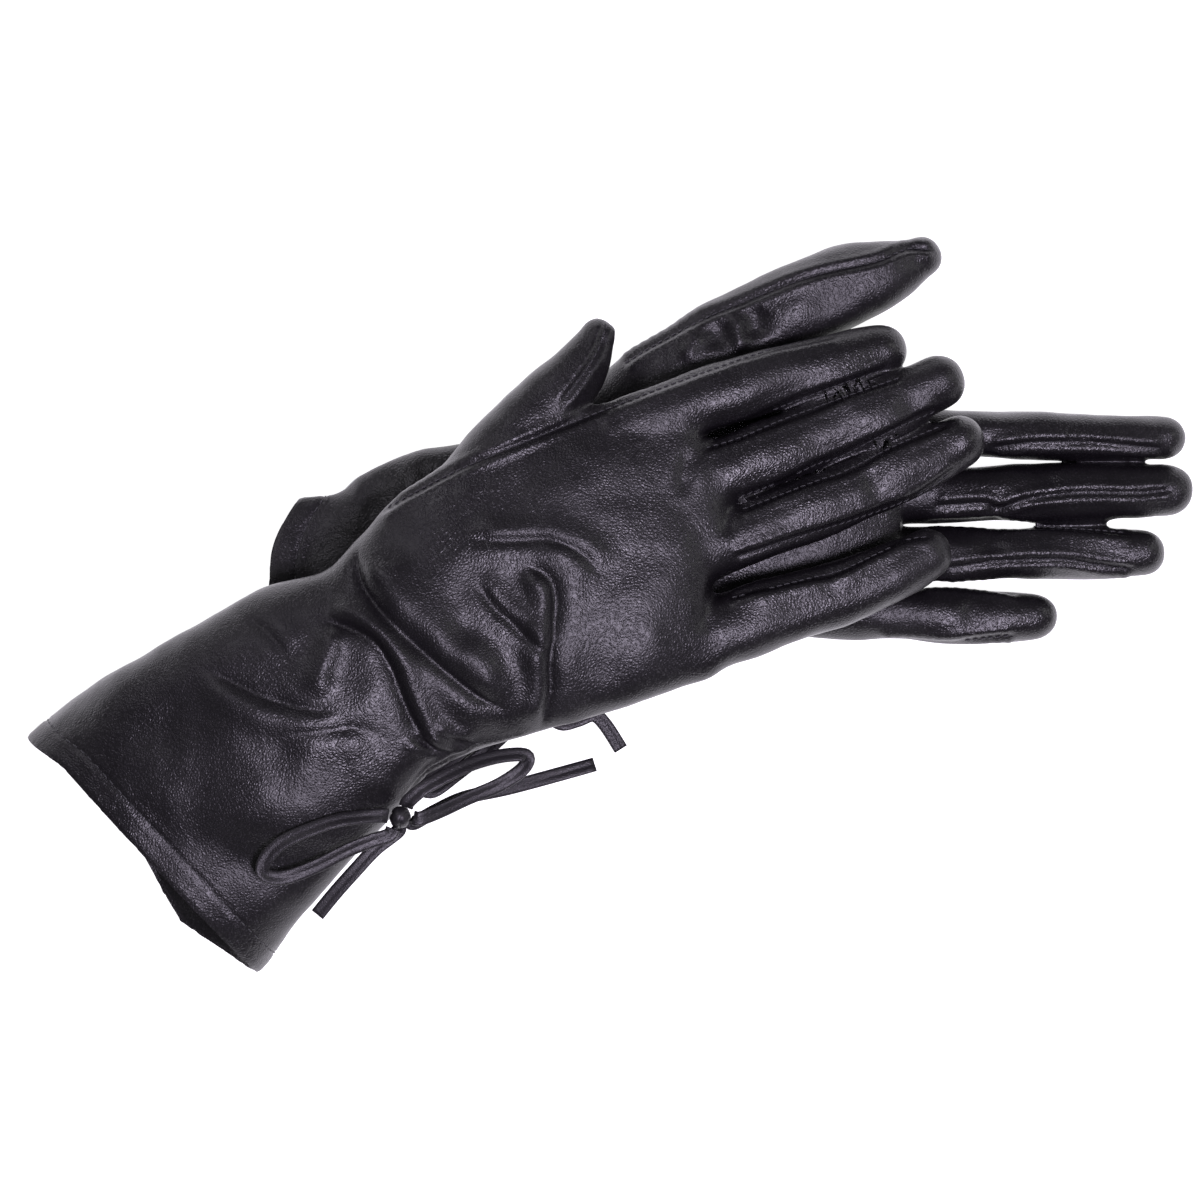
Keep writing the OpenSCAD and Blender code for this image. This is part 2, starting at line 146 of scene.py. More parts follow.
def smooth_path(points, step):
    """A smooth curve through the points, with a point about every step."""
    p = np.array(points, float)
    out = []
    for i in range(len(p) - 1):
        a, b, c, d = p[max(i - 1, 0)], p[i], p[i + 1], p[min(i + 2, len(p) - 1)]
        n = max(1, int(round(np.linalg.norm(c[:2] - b[:2]) / step)))
        for f in np.arange(n) / n:
            out.append(0.5 * (2 * b + (c - a) * f + (2 * a - 5 * b + 4 * c - d) * f ** 2
                              + (3 * b - a - 3 * c + d) * f ** 3))
    out.append(p[-1])
    return np.array(out)


def ease(x):
    x = np.clip(x, 0, 1)
    return x * x * (3 - 2 * x)


def new_mesh(name, verts, faces, scale=MM):
    mesh = bpy.data.meshes.new(name)
    mesh.from_pydata((np.asarray(verts) * scale).tolist(), [], faces)
    mesh.update()
    piece = bpy.data.objects.new(name, mesh)
    bpy.context.scene.collection.objects.link(piece)
    return piece


def apply_modifier(piece, kind, **settings):
    bpy.ops.object.select_all(action="DESELECT")
    bpy.context.view_layer.objects.active = piece
    piece.select_set(True)
    modifier = piece.modifiers.new(kind, kind)
    for key, value in settings.items():
        setattr(modifier, key, value)
    bpy.ops.object.modifier_apply(modifier=modifier.name)


# ---- The rough form of a glove, as closed ovals that run into each other ----

ROUND_END = (18, 36, 52, 66, 78, 86)   # the angles of the sections that close a fingertip


def oval_tube(rows, sides=56, squareness=2.25):
    """A closed tube through oval sections: along, across, height, heading, half width, half thickness."""
    rows = smooth_path(rows, 2.5)
    a = np.linspace(0, 2 * np.pi, sides, endpoint=False)
    across = np.sign(np.cos(a)) * np.abs(np.cos(a)) ** (2 / squareness)
    up = np.sign(np.sin(a)) * np.abs(np.sin(a)) ** (2 / squareness)
    verts = []
    for x, y, z, heading, half_w, half_h in rows:
        h = math.radians(heading)
        verts.append(np.stack([x - math.sin(h) * half_w * across, y + math.cos(h) * half_w * across,
                               z + half_h * up], 1))
    n = sides
    faces = [(k * n + i, (k + 1) * n + i, (k + 1) * n + (i + 1) % n, k * n + (i + 1) % n)
             for k in range(len(rows) - 1) for i in range(n)]
    faces += [tuple(range(n)), tuple(reversed(range((len(rows) - 1) * n, len(rows) * n)))]
    return np.concatenate(verts), faces


def finger_rows(rows):
    """Sections of a finger from inside the hand to its blunt tip."""
    path = np.array(rows, float)
    way = np.gradient(path[:, :2], axis=0)
    x, y, z, w, h = path[-1]
    blunt = w * 1.05
    a = math.atan2(path[-1, 1] - path[-2, 1], path[-1, 0] - path[-2, 0])
    out = [tuple(r[:3]) + (math.degrees(math.atan2(d[1], d[0])), r[3], r[4])
           for r, d in zip(path[:-1], way)]
    for angle in (0,) + ROUND_END:
        s, c = math.sin(math.radians(angle)), math.cos(math.radians(angle))
        back = blunt * (s - 1)
        out.append((x + math.cos(a) * back, y + math.sin(a) * back, z, math.degrees(a),
                    w * max(c, 0.05) ** 0.86, h * max(c, 0.05) ** 0.8))
    return out


def thumb_form(rows):
    """A thumb's own sections, then a blunt end."""
    x, y, z, heading, w, h = rows[-1]
    a = math.radians(heading)
    end = []
    for angle in ROUND_END:
        s, c = math.sin(math.radians(angle)), math.cos(math.radians(angle))
        end.append((x + math.cos(a) * w * s, y + math.sin(a) * w * s, z, heading,
                    w * c ** 0.86, h * c ** 0.8))
    return rows + end


def rough_glove(name, hand, tubes):
    """All the tubes of one glove, joined by a fine remesh, in the frame of the pair."""
    verts, faces, count = [], [], 0
    for v, f in tubes:
        verts.append(to_world(v, hand))
        faces += [tuple(i + count for i in face) for face in f]
        count += len(v)
    piece = new_mesh(name, np.concatenate(verts), faces)
    apply_modifier(piece, "REMESH", mode="VOXEL", voxel_size=CLOTH_GRID * MM, adaptivity=0)
    return piece


def read_mesh(piece):
    """A mesh's points, in millimetres."""
    mesh = piece.data
    co = np.empty(len(mesh.vertices) * 3)
    mesh.vertices.foreach_get("co", co)
    return co.reshape(-1, 3) / MM


def write_points(piece, points):
    piece.data.vertices.foreach_set("co", (points * MM).ravel())
    piece.data.update()


def read_normals(piece):
    """The smooth outward direction at each point."""
    n = np.empty(len(piece.data.vertices) * 3)
    piece.data.vertex_normals.foreach_get("vector", n)
    return n.reshape(-1, 3)


def joined_pairs(piece, count):
    """The mesh's edges, and how many meet at each point."""
    edges = np.empty(len(piece.data.edges) * 2, int)
    piece.data.edges.foreach_get("vertices", edges)
    edges = edges.reshape(-1, 2)
    return edges, np.bincount(edges.ravel(), minlength=count)[:, None]


def pull_to_neighbours(points, edges, degree, step):
    """Moves each point towards the middle of its neighbours."""
    total = np.stack([np.bincount(edges[:, 0], points[edges[:, 1], c], len(points))
                      + np.bincount(edges[:, 1], points[edges[:, 0], c], len(points)) for c in range(3)], 1)
    points += step * (total / degree - points)


def smooth_all(piece, rounds, amount=0.5):
    """Rounds the whole form off without shrinking it."""
    points = read_mesh(piece)
    edges, degree = joined_pairs(piece, len(points))
    for k in range(rounds):
        for step in (amount, -amount * 1.04):
            pull_to_neighbours(points, edges, degree, step)
    write_points(piece, points)


def smooth_where(piece, weight, rounds, amount=0.5):
    """Rounds the form off where the weight says."""
    points = read_mesh(piece)
    edges, degree = joined_pairs(piece, len(points))
    step = (weight * amount)[:, None]
    for k in range(rounds):
        pull_to_neighbours(points, edges, degree, step)
    write_points(piece, points)
    return points


# ---- Folds, creases, gathers and seams, as lines seen from above in the frame of the pair ----

# height in millimetres (below zero is a crease), width on the left, width on the right, run-out, line
RIGHT_FOLDS = [
    (1.7, 3.2, 3.8, 6, [(-78.4, -4.5), (-79.9, -13.1), (-81.9, -19.9), (-81.6, -27.5)]),
    (1.3, 11, 9, 20, [(-116, -48), (-100, -55), (-84, -57), (-70, -54)]),
    (-1.6, 7, 8, 18, [(-126, -60), (-108, -71), (-90, -74), (-72, -66)]),
    (-1.2, 8, 9, 20, [(-144, -42), (-126, -36), (-106, -38)]),
    (1, 7, 8, 16, [(-150, -34), (-134, -26), (-112, -12), (-98, -6)]),
    (0.7, 4.2, 4, 7, [(-44.9, -10.8), (-38.5, -14.8), (-29.2, -18.1)]),
    (-0.8, 4.6, 4.6, 5, [(-46.4, -4.1), (-41.4, -7.6), (-36.4, -9.1)]),
    (0.9, 12, 12, 14, [(-8, -16), (8, -10), (24, -4)]),
    (-0.9, 11, 12, 14, [(-6, 30), (12, 36), (26, 38)]),
    (-1, 2.6, 2.8, 6, [(23.8, 46.5), (22, 39), (21.6, 30)]),
    (-0.9, 2.2, 2.4, 5, [(33.8, 30.8), (34.4, 25.8), (33.6, 18.2)]),
    (-1, 2.6, 2.8, 6, [(30.6, 7), (28.8, -1), (27.2, -9.5)]),
    (-1.2, 6, 6, 7, [(71, 33), (76.4, 34.9), (81, 37)]),
    (0.9, 2.8, 2.6, 6, [(37.8, 0.4), (50.9, 3.6), (62.9, 6.4), (69.5, 8.4), (76.4, 13.8), (87.8, 19.8)]),
    (-0.8, 3.4, 3.4, 6, [(60, 12), (64, 6), (64.5, 1)]),
    (-0.7, 3.4, 3.4, 6, [(84, 62), (86, 57), (90, 52)]),
]

# Crisp creases of the wrist: depth, rise and its width on the left, the same on the right, run-out, line
RIGHT_CREASES = [
    (0.8, 3, 6.5, 1.2, 4, 14, [(-71.8, 20), (-70.8, 8.4), (-66.5, 0.4), (-60.5, -6.5), (-53.1, -13.1),
                                   (-45.1, -19.9), (-37.1, -25.9), (-26.5, -31.3)]),
    (0.9, 2.3, 3.4, 0.9, 5, 7, [(-81.4, -4.4), (-73.4, -6.5), (-66.5, -10.5), (-61.9, -17.4), (-58.5, -26.5),
                                  (-54.5, -34.8), (-48.2, -43.2)]),
    (0.5, 0.5, 5, 1.7, 4.5, 12, [(-118, -17.5), (-108.2, -21.4), (-100, -25.5), (-92.2, -27.9),
                                   (-84, -29.8), (-74, -30.2)]),
    (0.3, 0.5, 5, 0.9, 5, 10, [(-94, -36.5), (-82, -36), (-72, -35), (-63, -38)]),
    (0.8, 1, 5.5, 2, 3.6, 8, [(-25.2, 11.9), (-18.6, 9), (-15.6, 4.5), (-15.4, -3.6), (-16.8, -15.9),
                                  (-16.8, -25.4), (-19.6, -36.9)]),
    (0.25, 1.1, 3, 0.7, 3, 8, [(-40.6, 18.6), (-31, 18.3), (-25.1, 18.4), (-16.2, 18.4), (-8.2, 14.9),
                                   (-1.4, 8)]),
    (0.4, 1.1, 3.2, 0.7, 3, 7, [(-38.6, 7.9), (-32.6, -0.6), (-27.6, -5.1), (-22.2, -10.5), (-15.2, -15.5)]),
    (0.6, 0.9, 2, 0.9, 2, 4, [(-58, -36), (-52, -39.5), (-44, -42)]),
    (0.6, 0.9, 2, 0.9, 2, 4, [(-51, -34), (-45.5, -38), (-37, -40)]),
    (0.3, 0.8, 4, 0.5, 4, 8, [(-106, -2), (-97, -8), (-90, -17)]),
]

LEFT_FOLDS = [
    (1.6, 2.4, 2.4, 4, [(22.2, 69), (23.8, 75.2), (26.5, 80)]),
    (1.5, 2.4, 2.4, 4, [(39.2, 72), (37.2, 79.2), (37.6, 85)]),
    (-1.8, 4, 4, 4, [(43.6, 76), (42.4, 82.4), (44, 87)]),
    (-1.5, 3.6, 3.6, 4, [(32.2, 73), (31.6, 78.6), (32.2, 83)]),
    (-1, 5, 5, 8, [(55, 84), (64, 88), (74, 90)]),
    (-1.2, 5, 6, 8, [(-72, 34), (-66, 20), (-60, 10)]),
    (1.2, 4, 5, 8, [(-60, 42), (-55, 32), (-50, 22)]),
    (-1, 3, 3, 4, [(112.4, 30.5), (112, 25.5), (111, 21)]),
    (-0.7, 3, 3, 5, [(124, 44), (126.5, 37), (126, 33)]),
    (-0.8, 3.4, 3.4, 5, [(107, 22), (111, 17), (112, 12)]),
    (-0.7, 3, 3, 5, [(103, 3), (105, -2), (104, -8)]),
]
# Seams: the piece they close, then the line
RIGHT_SEAMS = {
    "thumb_side": [(-66.4, 26.2), (-45, 37.6), (-22, 47.4), (3.2, 57.6), (27, 66.6), (50.4, 74.6),
                   (66, 77.8)],
    "index_low": [(25.2, 47.8), (37.2, 52), (49.5, 57), (66.4, 63.4), (80.8, 68.2)],
    "middle_high": [(26.4, 44.6), (37.6, 48), (49.9, 53.2), (66.8, 59.4), (84.8, 65.8)],
    "middle_low": [(36.2, 30.6), (48, 35), (59.5, 40.4), (66.9, 42.9), (81.2, 50.2), (95.6, 56.5)],
    "ring_high": [(37, 27), (48.6, 31.4), (60, 35.8), (67.5, 38.4), (82.6, 46), (98, 52.5)],
    "ring_low": [(35.2, 13.2), (49, 18), (69, 24.2), (88.2, 31.4), (100.2, 39.6)],
    "little_high": [(33.8, 1.8), (56.1, 7.4), (66.4, 10), (77, 14.8), (86.4, 19), (93.6, 19.6)],
    "thumb": [(-0.2, 82), (-3.1, 73.1), (-7.4, 65.9), (-13.9, 57.1)]}
LEFT_SEAMS = {
    "thumb": [(3.5, 69.1), (15.2, 76.2), (31.2, 84.4), (48.1, 91.2), (62.6, 96), (77.2, 99.2), (86.6, 103),
              (95, 102.4)],
    "index": [(110.1, 45.2), (118.4, 46.6), (126.9, 47.2), (141.5, 46.9), (160.9, 45.2)],
    "middle": [(93.8, 28.6), (108.4, 29.5), (112.4, 27.9), (121.2, 30.6), (135.8, 32.4), (153.2, 32.4),
               (163.8, 33.5)],
    "ring_high": [(90.9, 24.1), (109.5, 24.1), (117.2, 23.2), (140.4, 21.8), (152, 20.8)],
    "ring": [(96.6, 10.6), (112.4, 12.6), (130.1, 13.2), (141.5, 11.5), (152.6, 10.1)],
    "little_high": [(89.8, 6.1), (106.6, 5.8), (119.5, 3.2)],
    "little": [(77.5, -10.2), (94.9, -10.8), (118.4, -8.5)]}


UPWARD = 0.45   # a fold is at its full height where the leather faces up at least this much
CRISP = 1.1     # how wide the sharp bottom of a crease is


def distances(points, path):
    """How far each point is from a path, on which side (1 is its left), and how far along."""
    best = np.full(len(points), 1e9)
    side = np.ones(len(points))
    along = np.zeros(len(points))
    run = 0.0
    for a, b in zip(path[:-1], path[1:]):
        d = b - a
        length = np.linalg.norm(d)
        rel = points - a
        t = np.clip(rel @ d / length ** 2, 0, 1)
        gap = np.linalg.norm(rel - t[:, None] * d, axis=1)
        closer = gap < best
        best[closer] = gap[closer]
        side[closer] = np.sign(d[0] * rel[closer, 1] - d[1] * rel[closer, 0] + 1e-9)
        along[closer] = run + t[closer] * length
        run += length
    return best, side, along, run


def near(points, path, reach):
    """Which points lie in the box round a path."""
    low, high = path.min(0) - reach, path.max(0) + reach
    return np.where(((points[:, :2] > low) & (points[:, :2] < high)).all(1))[0]


def add_folds(points, normals, folds):
    """Moves the points out at ridges and in at creases, only on the side of the glove that faces up."""
    shift = np.zeros(len(points))
    for height, left, right, run_out, line in folds:
        path = smooth_path(line, 2.0)[:, :2]
        chosen = near(points, path, 3 * max(left, right))
        chosen = chosen[normals[chosen, 2] > 0]
        gap, side, along, total = distances(points[chosen, :2], path)
        width = np.where(side > 0, left, right)
        ends = ease(along / run_out) * ease((total - along) / run_out)
        upward = ease(normals[chosen, 2] / UPWARD)
        shift[chosen] += height * np.exp(-(gap / width) ** 2) * ends * upward
    return shift


def add_creases(points, normals, creases):
    """Presses crisp creases in, with the leather rising on either side of them."""
    shift = np.zeros(len(points))
    for depth, left, left_width, right, right_width, run_out, line in creases:
        path = smooth_path(line, 1.5)[:, :2]
        chosen = near(points, path, 3.5 * max(left_width, right_width))
        chosen = chosen[normals[chosen, 2] > 0]
        gap, side, along, total = distances(points[chosen, :2], path)
        height = np.where(side > 0, left, right)
        width = np.where(side > 0, left_width, right_width)
        ends = ease(along / run_out) * ease((total - along) / run_out)
        rise = height * gap / width * np.exp(0.5 - 0.5 * (gap / width) ** 2) - depth * np.exp(-gap / CRISP)
        shift[chosen] += rise * ends * ease(normals[chosen, 2] / UPWARD)
    return shift


def add_seams(points, normals, seams, groove, ridge, pucker, pitch):
    """A fine groove with a puckered ridge on both sides of it, along every seam."""
    shift = np.zeros(len(points))
    for k, line in enumerate(seams.values()):
        path = smooth_path(line, 1.5)[:, :2]
        chosen = near(points, path, 7)
        chosen = chosen[normals[chosen, 2] > 0]
        gap, side, along, total = distances(points[chosen, :2], path)
        ends = ease(along / 3) * ease((total - along) / 3)
        wave = 1 + pucker * np.sin(2 * np.pi * along / pitch + 1.7 * np.sin(along / 11 + k) + side)
        move = -groove * np.exp(-(gap / 0.85) ** 2) + ridge * wave * np.exp(-((gap - 1.9) / 1.25) ** 2)
        shift[chosen] += move * ends * ease(normals[chosen, 2] / 0.25)
    return shift


def soft_waves(points, size, height, seed):
    """Slow uneven waves, so that no face of the leather is quite even."""
    out = np.empty(len(points))
    for i, p in enumerate(points):
        out[i] = noise.noise(Vector((p[0] / size + seed, p[1] / size, p[2] / size)))
    return out * height


def cut_hem(piece, hand, point, heading):
    """Cuts the wrist end off along the hem. Returns a point of the cut and the way into the glove."""
    a = math.radians(heading + hand["turn"])
    normal = Vector((math.cos(a), math.sin(a), 0))
    place = to_world([point], hand)[0]
    mesh = bmesh.new()
    mesh.from_mesh(piece.data)
    bmesh.ops.bisect_plane(mesh, geom=mesh.verts[:] + mesh.edges[:] + mesh.faces[:], dist=0.00012,
                           plane_co=Vector((place[0], place[1], 0)) * MM, plane_no=normal, clear_inner=True)
    edge = [v for v in mesh.verts if v.is_boundary]
    bmesh.ops.remove_doubles(mesh, verts=edge, dist=0.00025)
    mesh.to_mesh(piece.data)
    mesh.free()
    return np.array([place[0], place[1]]), np.array([normal.x, normal.y])


def faces_of(mesh):
    """The mesh's faces, each a tuple of its corners."""
    starts = np.empty(len(mesh.polygons), int)
    totals = np.empty(len(mesh.polygons), int)
    corners = np.empty(len(mesh.loops), int)
    mesh.polygons.foreach_get("loop_start", starts)
    mesh.polygons.foreach_get("loop_total", totals)
    mesh.loops.foreach_get("vertex_index", corners)
    return [tuple(corners[s:s + n].tolist()) for s, n in zip(starts, totals)]


def take(name, points, normals, faces, chosen, extra_faces=()):
    """A new piece from some of the faces. It keeps the whole glove's shading where it was parted."""
    picked = [faces[i] for i in chosen] + list(extra_faces)
    used = np.unique(np.fromiter((i for f in picked for i in f), int))
    place = np.full(len(points), -1)
    place[used] = np.arange(len(used))
    piece = new_mesh(name, points[used], [tuple(place[list(f)].tolist()) for f in picked])
    piece.data.polygons.foreach_set("use_smooth", [True] * len(picked))
    piece.data.normals_split_custom_set_from_vertices(normals[used].tolist())
    return piece


def wrist_gathers(points, hand, normals, height, seed):
    """Fine gathers that the elastic pulls in round the lower side and the palm of the wrist."""
    local = to_hand(points, hand)
    round_it = np.arctan2(normals[:, 2], normals[:, 1])
    low_side = ease((-normals[:, 1] * 0.8 - normals[:, 2] * 0.8 + 0.25) / 0.7)
    band = np.exp(-((local[:, 0] + 2) / 9.0) ** 2)
    return height * np.sin(round_it * 21 + seed + 0.05 * local[:, 0]) * low_side * band


def hem_relief(from_hem):
    """The hem is folded in and stitched: a thicker band, with a groove along the stitches."""
    band = 0.35 * ease((HEM_STITCH_IN + 2.2 - from_hem) / 2.2)
    groove = 0.5 * np.exp(-((from_hem - HEM_STITCH_IN) / 0.8) ** 2)
    rounded_rim = 0.35 * ease((1.2 - from_hem) / 1.2)
    return band - groove - rounded_rim


# ---- Groups of faces: the hand, and every finger as a piece of its own ----


# Lines between the fingers, in each hand's own frame: along, across
FREE = 200.0
INDEX_MIDDLE = ((100, 108, 134, 167, 185), (16.0, 15.4, 12.4, 7.1, 4.5))
MIDDLE_RING = ((100, 109, 134, 176, 190), (-4.5, -5.0, -7.4, -10.2, -10.6))
RING_LITTLE = ((90, 94, 117, 139, 158, 190), (-24.5, -25.0, -28.6, -30.2, -32.0, -33.0))
ABOVE_ALL = ((90, 190), (FREE, FREE))
BELOW_ALL = ((90, 190), (-FREE, -FREE))
LEFT_LINES = (ABOVE_ALL, ((100, 190), (21.5, 21.6)), ((100, 190), (3.4, 3.8)), ((100, 190), (-14.2, -14.6)),
              BELOW_ALL)
RIGHT_LINES = (ABOVE_ALL, INDEX_MIDDLE, MIDDLE_RING, RING_LITTLE, BELOW_ALL)
RIGHT_PARTINGS = {"starts": (110.5, 110.5, 110.5, 98), "rows": tuple(zip(RIGHT_LINES, RIGHT_LINES[1:]))}
LEFT_PARTINGS = {"starts": (128, 128, 128, 116), "rows": tuple(zip(LEFT_LINES, LEFT_LINES[1:]))}
# Where a thumb's own piece begins: a point of the hand's frame, and the thumb's way
THUMB_STARTS = {"right": ((71.0, 47.0), 30), "left": ((46.0, 53.0), 36)}


def group_faces(centres, hand, partings, thumb):
    """0 the hand and cuff, 1 to 4 the fingers from the index on, 5 the thumb."""
    p = to_hand(centres, hand)
    group = np.zeros(len(p), int)
    for k, (high, low) in enumerate(partings["rows"]):
        inside = (p[:, 1] < np.interp(p[:, 0], *high)) & (p[:, 1] >= np.interp(p[:, 0], *low))
        group[(p[:, 0] > partings["starts"][k]) & inside] = k + 1
    (x, y), heading = thumb
    a = math.radians(heading)
    ahead = (p[:, 0] - x) * math.cos(a) + (p[:, 1] - y) * math.sin(a)
    group[(ahead > 0) & (p[:, 0] < 128 if hand is LEFT else p[:, 0] < 110)
          & (p[:, 1] > thumb_clear(p[:, 0], hand))] = 5
    return group


def thumb_clear(along, hand):
    """The line between the thumb and the hand's edge, where they lie side by side."""
    if hand is RIGHT:
        return np.interp(along, (55, 70, 78, 84, 90, 105), (44.0, 43.5, 41.5, 39.6, 38.8, 38.0))
    return np.interp(along, (40, 60, 80, 110), (46.0, 48.0, 50.0, 52.0))


# ---- Stitches ----


def one_stitch(sides=6):
    """A stitch along X: a short round thread whose ends dip under the leather."""
    rings = []
    for x, r, z in ((-0.5, 0.15, -0.55), (-0.36, 0.8, 0.0), (-0.12, 1.0, 0.35), (0.12, 1.0, 0.35),
                    (0.36, 0.8, 0.0), (0.5, 0.15, -0.55)):
        for k in range(sides):
            a = 2 * math.pi * k / sides
            rings.append((x * STITCH_LENGTH, r * STITCH_RADIUS * math.cos(a),
                          STITCH_RADIUS * (z + r * math.sin(a))))
    faces = [(j * sides + k, (j + 1) * sides + k,
              (j + 1) * sides + (k + 1) % sides, j * sides + (k + 1) % sides)
             for j in range(5) for k in range(sides)]
    faces += [tuple(range(sides)), tuple(reversed(range(5 * sides, 6 * sides)))]
    return np.array(rings), [tuple(reversed(f)) for f in faces]


def line_on_top(tree, line, pitch):
    """Places along a line, dropped from above onto the leather: point, normal, way and face."""
    path = smooth_path(line, 0.5)[:, :2]
    step = np.linalg.norm(np.diff(path, axis=0), axis=1)
    run = np.concatenate([[0], np.cumsum(step)])
    found = []
    for s in np.arange(pitch, run[-1] - pitch, pitch):
        x, y = np.interp(s, run, path[:, 0]), np.interp(s, run, path[:, 1])
        x2, y2 = np.interp(s + 0.4, run, path[:, 0]), np.interp(s + 0.4, run, path[:, 1])
        hit, normal, face, gap = tree.ray_cast(Vector((x, y, 90)), Vector((0, 0, -1)))
        if hit is not None and normal[2] > STEEPEST_STITCH:
            found.append((np.array(hit), np.array(normal), np.array((x2 - x, y2 - y, 0)), face))
    return found


def line_round_hem(points, normals, faces, from_hem, level, pitch):
    """Places all the way round the cuff at one distance from the hem."""
    ring = []
    for index, face in enumerate(faces):
        for a, b in zip(face, face[1:] + face[:1]):
            if a < b and (from_hem[a] - level) * (from_hem[b] - level) < 0:
                f = (level - from_hem[a]) / (from_hem[b] - from_hem[a])
                ring.append((points[a] + f * (points[b] - points[a]), normals[a], index))
    middle = np.mean([r[0] for r in ring], axis=0)
    across = unit((ring[0][0] - middle) * (1, 1, 0))
    for p, n, i in ring:
        if np.linalg.norm((p - middle)[:2]) > np.linalg.norm(((ring[0][0] - middle))[:2]):
            across = unit((p - middle) * (1, 1, 0))
            break
    angle = [math.atan2((p - middle)[2] * 2.0, (p - middle) @ across) for p, n, i in ring]
    order = np.argsort(angle)
    path = np.array([ring[i][0] for i in order])
    step = np.linalg.norm(np.diff(path, axis=0), axis=1)
    keep = np.concatenate([[True], step > 1e-3])
    order, path = order[keep], path[keep]
    run = np.concatenate([[0], np.cumsum(np.linalg.norm(np.diff(path, axis=0), axis=1))])
    found = []
    for s in np.arange(0, run[-1] - pitch * 0.6, pitch):
        i = int(np.searchsorted(run, s))
        j = min(i + 2, len(path) - 1)
        back = max(i - 2, 0)
        found.append((path[i], unit(ring[order[i]][1]), path[j] - path[back], ring[order[i]][2]))
    return found


def stitch_row(name, places, material):
    """One stitch at every place, as a single piece."""
    base, faces = one_stitch()
    verts, all_faces = [], []
    for point, normal, way, face in places:
        n = unit(normal)
        x = unit(way - (way @ n) * n)
        y = np.cross(n, x)
        verts.append(point + base[:, :1] * x + base[:, 1:2] * y + base[:, 2:3] * n)
        start = len(base) * (len(verts) - 1)
        all_faces += [tuple(i + start for i in f) for f in faces]
    piece = new_mesh(name, np.concatenate(verts), all_faces)
    piece.data.polygons.foreach_set("use_smooth", [True] * len(all_faces))
    piece.data.materials.append(material)
    return piece


# ---- A whole glove ----

GROUP_NAMES = ("hand",) + FINGERS + ("thumb",)
SEAM_GROOVE = 0.6
SEAM_RIDGE = {"right": 0.5, "left": 0.65}
SEAM_PUCKER = 0.14
PUCKER_PITCH = 3.1
FACING_DEPTH = 10.0     # how far the hem is turned in
HEM_SHAPE_FADE = 34     # how far from the hem its own shape dies away
LEFT_HEM_WAY = np.array((0.92, 0.39))
LOWEST = 0.05           # the leather's clearance over the table


def smoothing_weight(side, points, from_hem):
    """Most at the roots of the fingers and of the thumb, none at the hem."""
    local = to_hand(points, HANDS[side])
    if side == "right":
        knuckles = ease((points[:, 0] - 4) / 14) * ease((46 - points[:, 0]) / 12)
        root = np.exp(-(((local[:, 0] - 52) / 22) ** 2 + ((local[:, 1] - 40) / 16) ** 2))
    else:
        knuckles = ease((local[:, 0] - 48) / 18) * ease((96 - local[:, 0]) / 8)
        root = np.exp(-(((local[:, 0] - 34) / 24) ** 2 + ((local[:, 1] - 42) / 18) ** 2))
    return np.maximum(np.maximum(knuckles, root), 0.12) * ease((from_hem - 3) / 10)


def shaped_leather(side, tubes, folds, creases, seams):
    """The outer face of the leather, with its folds, seams and hem, as one open mesh."""
    hand = HANDS[side]
    rough = rough_glove(side + "_rough_form", hand, tubes)
    smooth_all(rough, 3)
    (hem_x, hem_y), heading = HEM_CUT[side]
    hem_at, hem_normal = cut_hem(rough, hand, (hem_x, hem_y), heading)
    points = read_mesh(rough)
    from_hem = (points[:, :2] - hem_at) @ hem_normal
    points = smooth_where(rough, smoothing_weight(side, points, from_hem), 60)
    normals = read_normals(rough)
    from_hem = (points[:, :2] - hem_at) @ hem_normal
    shift = add_folds(points, normals, folds) + add_creases(points, normals, creases)
    shift += add_seams(points, normals, seams, SEAM_GROOVE, SEAM_RIDGE[side], SEAM_PUCKER, PUCKER_PITCH)
    shift += wrist_gathers(points, hand, normals, 0.7, 0.4)
    shift += soft_waves(points, 17.0, 0.9, 3.0) + soft_waves(points, 6.5, 0.22, 9.0)
    shift += hem_relief(from_hem)
    lean = hem_shape(side, to_hand(points, hand), hem_middle_height(points, from_hem) - points[:, 2])
    lean *= ease(1 - from_hem / HEM_SHAPE_FADE)
    points = points + normals * shift[:, None]
    points[:, :2] -= lean[:, None] * (hem_normal if side == "right" else LEFT_HEM_WAY)
    points[:, 2] = np.maximum(points[:, 2], LOWEST)
    write_points(rough, points)
    smooth_where(rough, np.full(len(points), 0.35), 1)
    return rough, from_hem, hem_at, hem_normal


